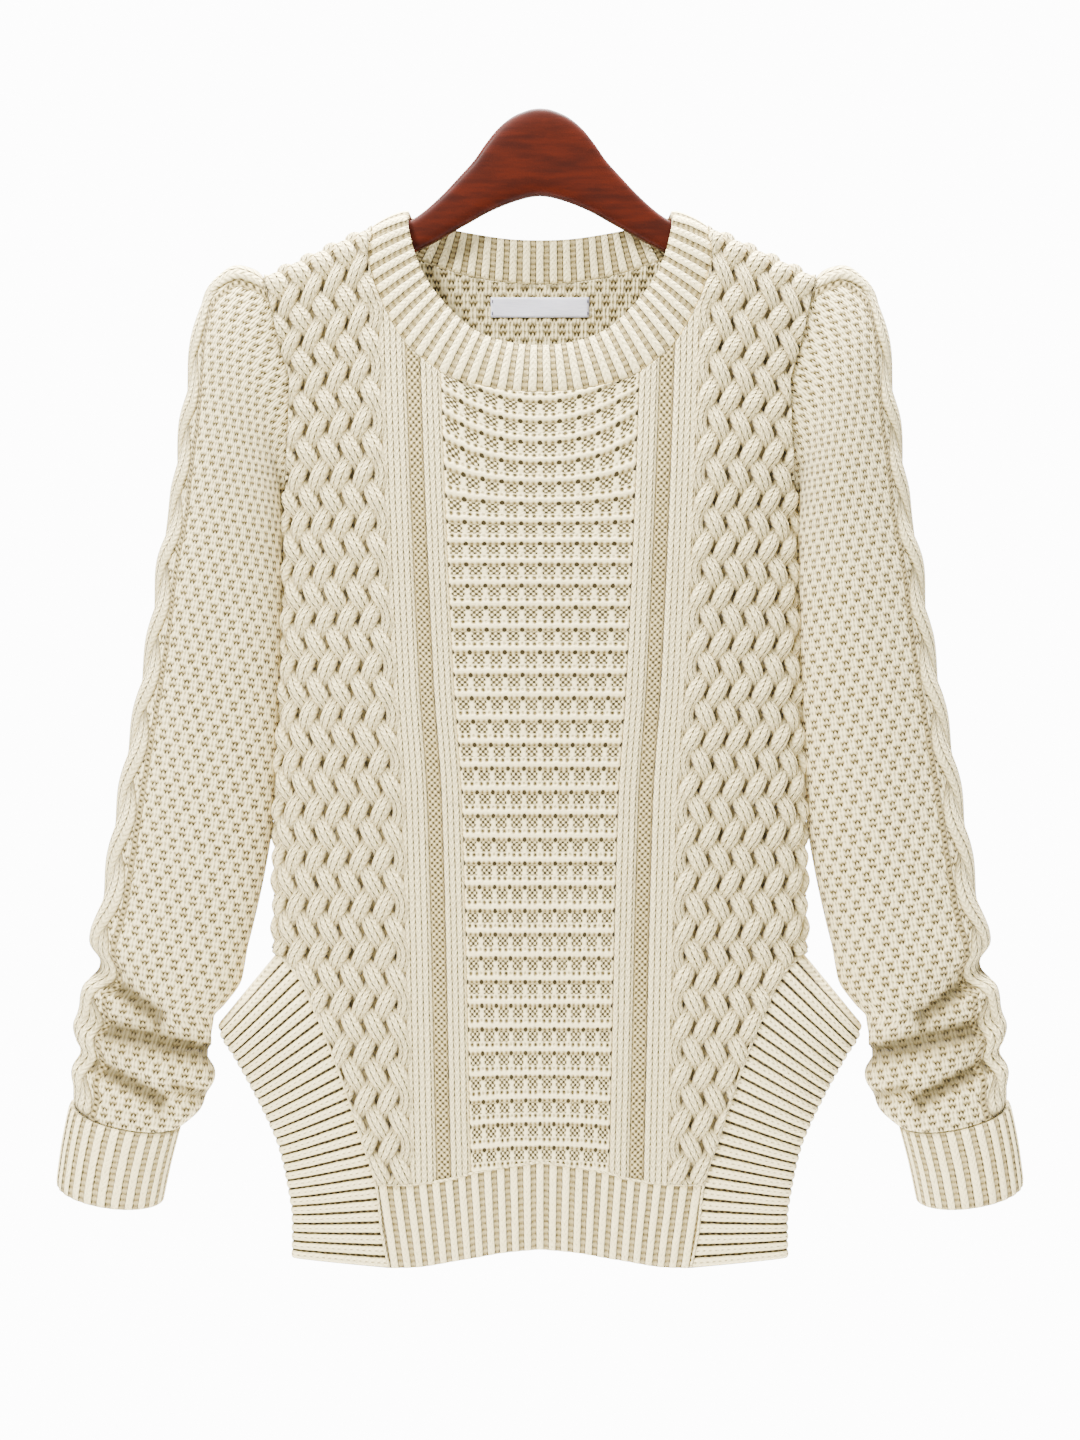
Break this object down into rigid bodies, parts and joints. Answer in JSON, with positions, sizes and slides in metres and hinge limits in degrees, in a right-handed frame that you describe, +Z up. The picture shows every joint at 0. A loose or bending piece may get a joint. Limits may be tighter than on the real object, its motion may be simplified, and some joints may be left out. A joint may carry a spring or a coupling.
{
  "type": "cable knit sweater on a wooden hanger",
  "caption": "Chunky cable knit pullover with open neck, cuffs and hem, flared ribbed side bands and side slits, hanging on a plain wooden hanger without a hook.",
  "frame": {"origin": "top centre of the hanger's crown, where the hook would stand", "axes": "+Z up, -Y the way the garment's front faces, +X the wearer's left"},
  "size_m": [0.6062, 0.0738, 0.7211],
  "materials": {
    "knit": "matt cream wool yarn in cable, waffle and moss knit",
    "rib": "matt cream wool yarn in rib knit",
    "satin": "blank satin ribbon",
    "wood": "red-brown stain, semi-gloss lacquer"
  },
  "bodies": {
    "root": {"front": "knit", "back": "knit", "sleeve_left": "knit", "sleeve_right": "knit", "cuff_left": "rib", "cuff_right": "rib", "neckband": "rib", "hem_front": "rib", "hem_back": "rib", "side_band_front_left": "rib", "side_band_front_right": "rib", "side_band_back_left": "rib", "side_band_back_right": "rib", "neck_label": "satin", "hanger": "wood"}
  },
  "joints": []
}
